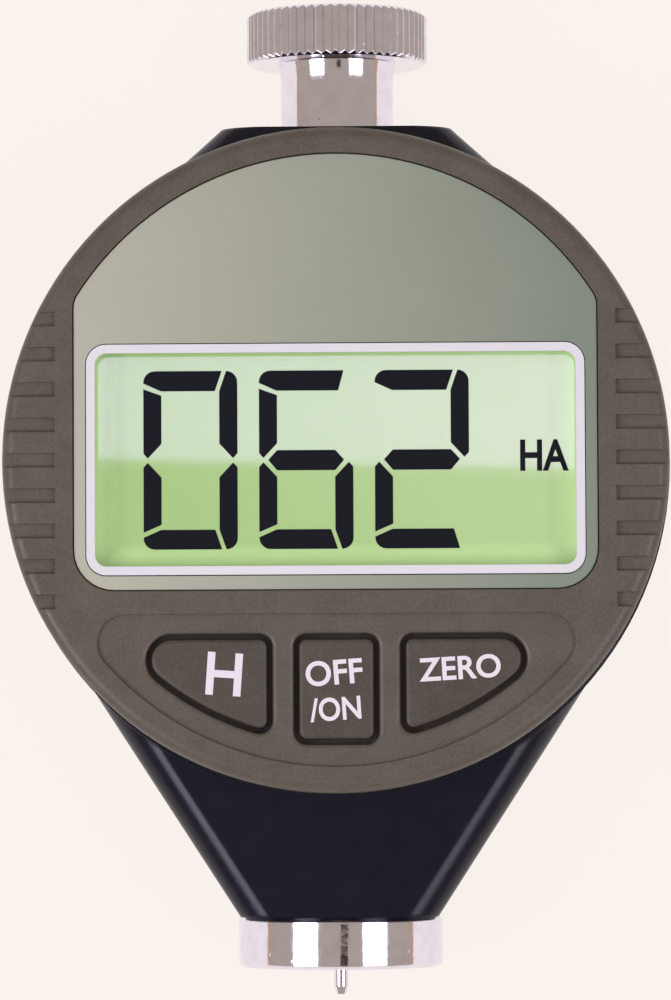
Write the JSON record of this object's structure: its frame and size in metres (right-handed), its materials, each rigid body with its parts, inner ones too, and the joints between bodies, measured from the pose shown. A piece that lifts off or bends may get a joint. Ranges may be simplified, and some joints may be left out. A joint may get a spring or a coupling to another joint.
{
  "type": "durometer",
  "caption": "Pocket digital durometer: round grey display module on a black cast body, with a knurled chrome knob on top and a chrome presser foot with a sprung indenter below.",
  "frame": {"origin": "middle of the round back cover, on the plane that the tool lies on", "axes": "+Z out of the display, +Y towards the knob, +X to the right of the display"},
  "size_m": [0.0578, 0.0869, 0.0274],
  "materials": {
    "black_paint": "satin",
    "black_plastic": "satin",
    "chrome": "polished",
    "steel": "satin",
    "brass": "satin",
    "grey_plastic": "satin",
    "key_plastic": "satin",
    "silver_panel": "satin",
    "white_plastic": "gloss",
    "clear_window": "gloss",
    "display": "satin",
    "board_green": "satin",
    "soft_rubber": "matte"
  },
  "bodies": {
    "case": {"frame_casting": "black_paint", "back_cover": "black_paint", "cover_screws": "steel", "battery": "steel", "battery_holder": "black_plastic", "battery_contact": "brass", "handle": "chrome", "upper_bush": "brass", "spring_adjuster": "brass", "calibrated_spring": "steel", "lower_bush": "brass", "presser_foot": "chrome", "front_housing": "grey_plastic", "housing_screws": "steel", "main_board": "board_green", "board_screws": "steel", "controller_chip": "black_plastic", "lcd_connectors": "soft_rubber", "lcd_panel": "display", "window_frame": "white_plastic", "display_window": "clear_window", "face_panel": "silver_panel", "keypad_mat": "soft_rubber"},
    "plunger": {"spindle": "steel", "scale_carrier": "white_plastic", "carrier_screw": "steel", "scale_plate": "board_green", "stop_collar": "steel", "collar_screw": "steel", "spring_seat": "brass", "indenter": "steel"},
    "hold_button": {"hold_key": "key_plastic"},
    "power_button": {"power_key": "key_plastic"},
    "zero_button": {"zero_key": "key_plastic"},
    "battery_door": {"battery_cap": "black_plastic"}
  },
  "joints": [
    {"name": "indenter_slide", "type": "slide", "parent": "case", "child": "plunger", "axis": [0, 1, 0], "range_m": [0, 0.0025], "stiffness_N_per_m": 3000, "springref_m": -0.00018, "deforming": ["calibrated_spring"]},
    {"name": "hold_press", "type": "slide", "parent": "case", "child": "hold_button", "axis": [0, 0, -1], "range_m": [0, 0.0006], "stiffness_N_per_m": 1500, "springref_m": -0.0003},
    {"name": "power_press", "type": "slide", "parent": "case", "child": "power_button", "axis": [0, 0, -1], "range_m": [0, 0.0006], "stiffness_N_per_m": 1500, "springref_m": -0.0003},
    {"name": "zero_press", "type": "slide", "parent": "case", "child": "zero_button", "axis": [0, 0, -1], "range_m": [0, 0.0006], "stiffness_N_per_m": 1500, "springref_m": -0.0003},
    {"name": "cap_turn", "type": "hinge", "parent": "case", "child": "battery_door", "pos_m": [-0.013, 0, 0], "axis": [0, 0, 1], "range_deg": [0, 60]}
  ]
}
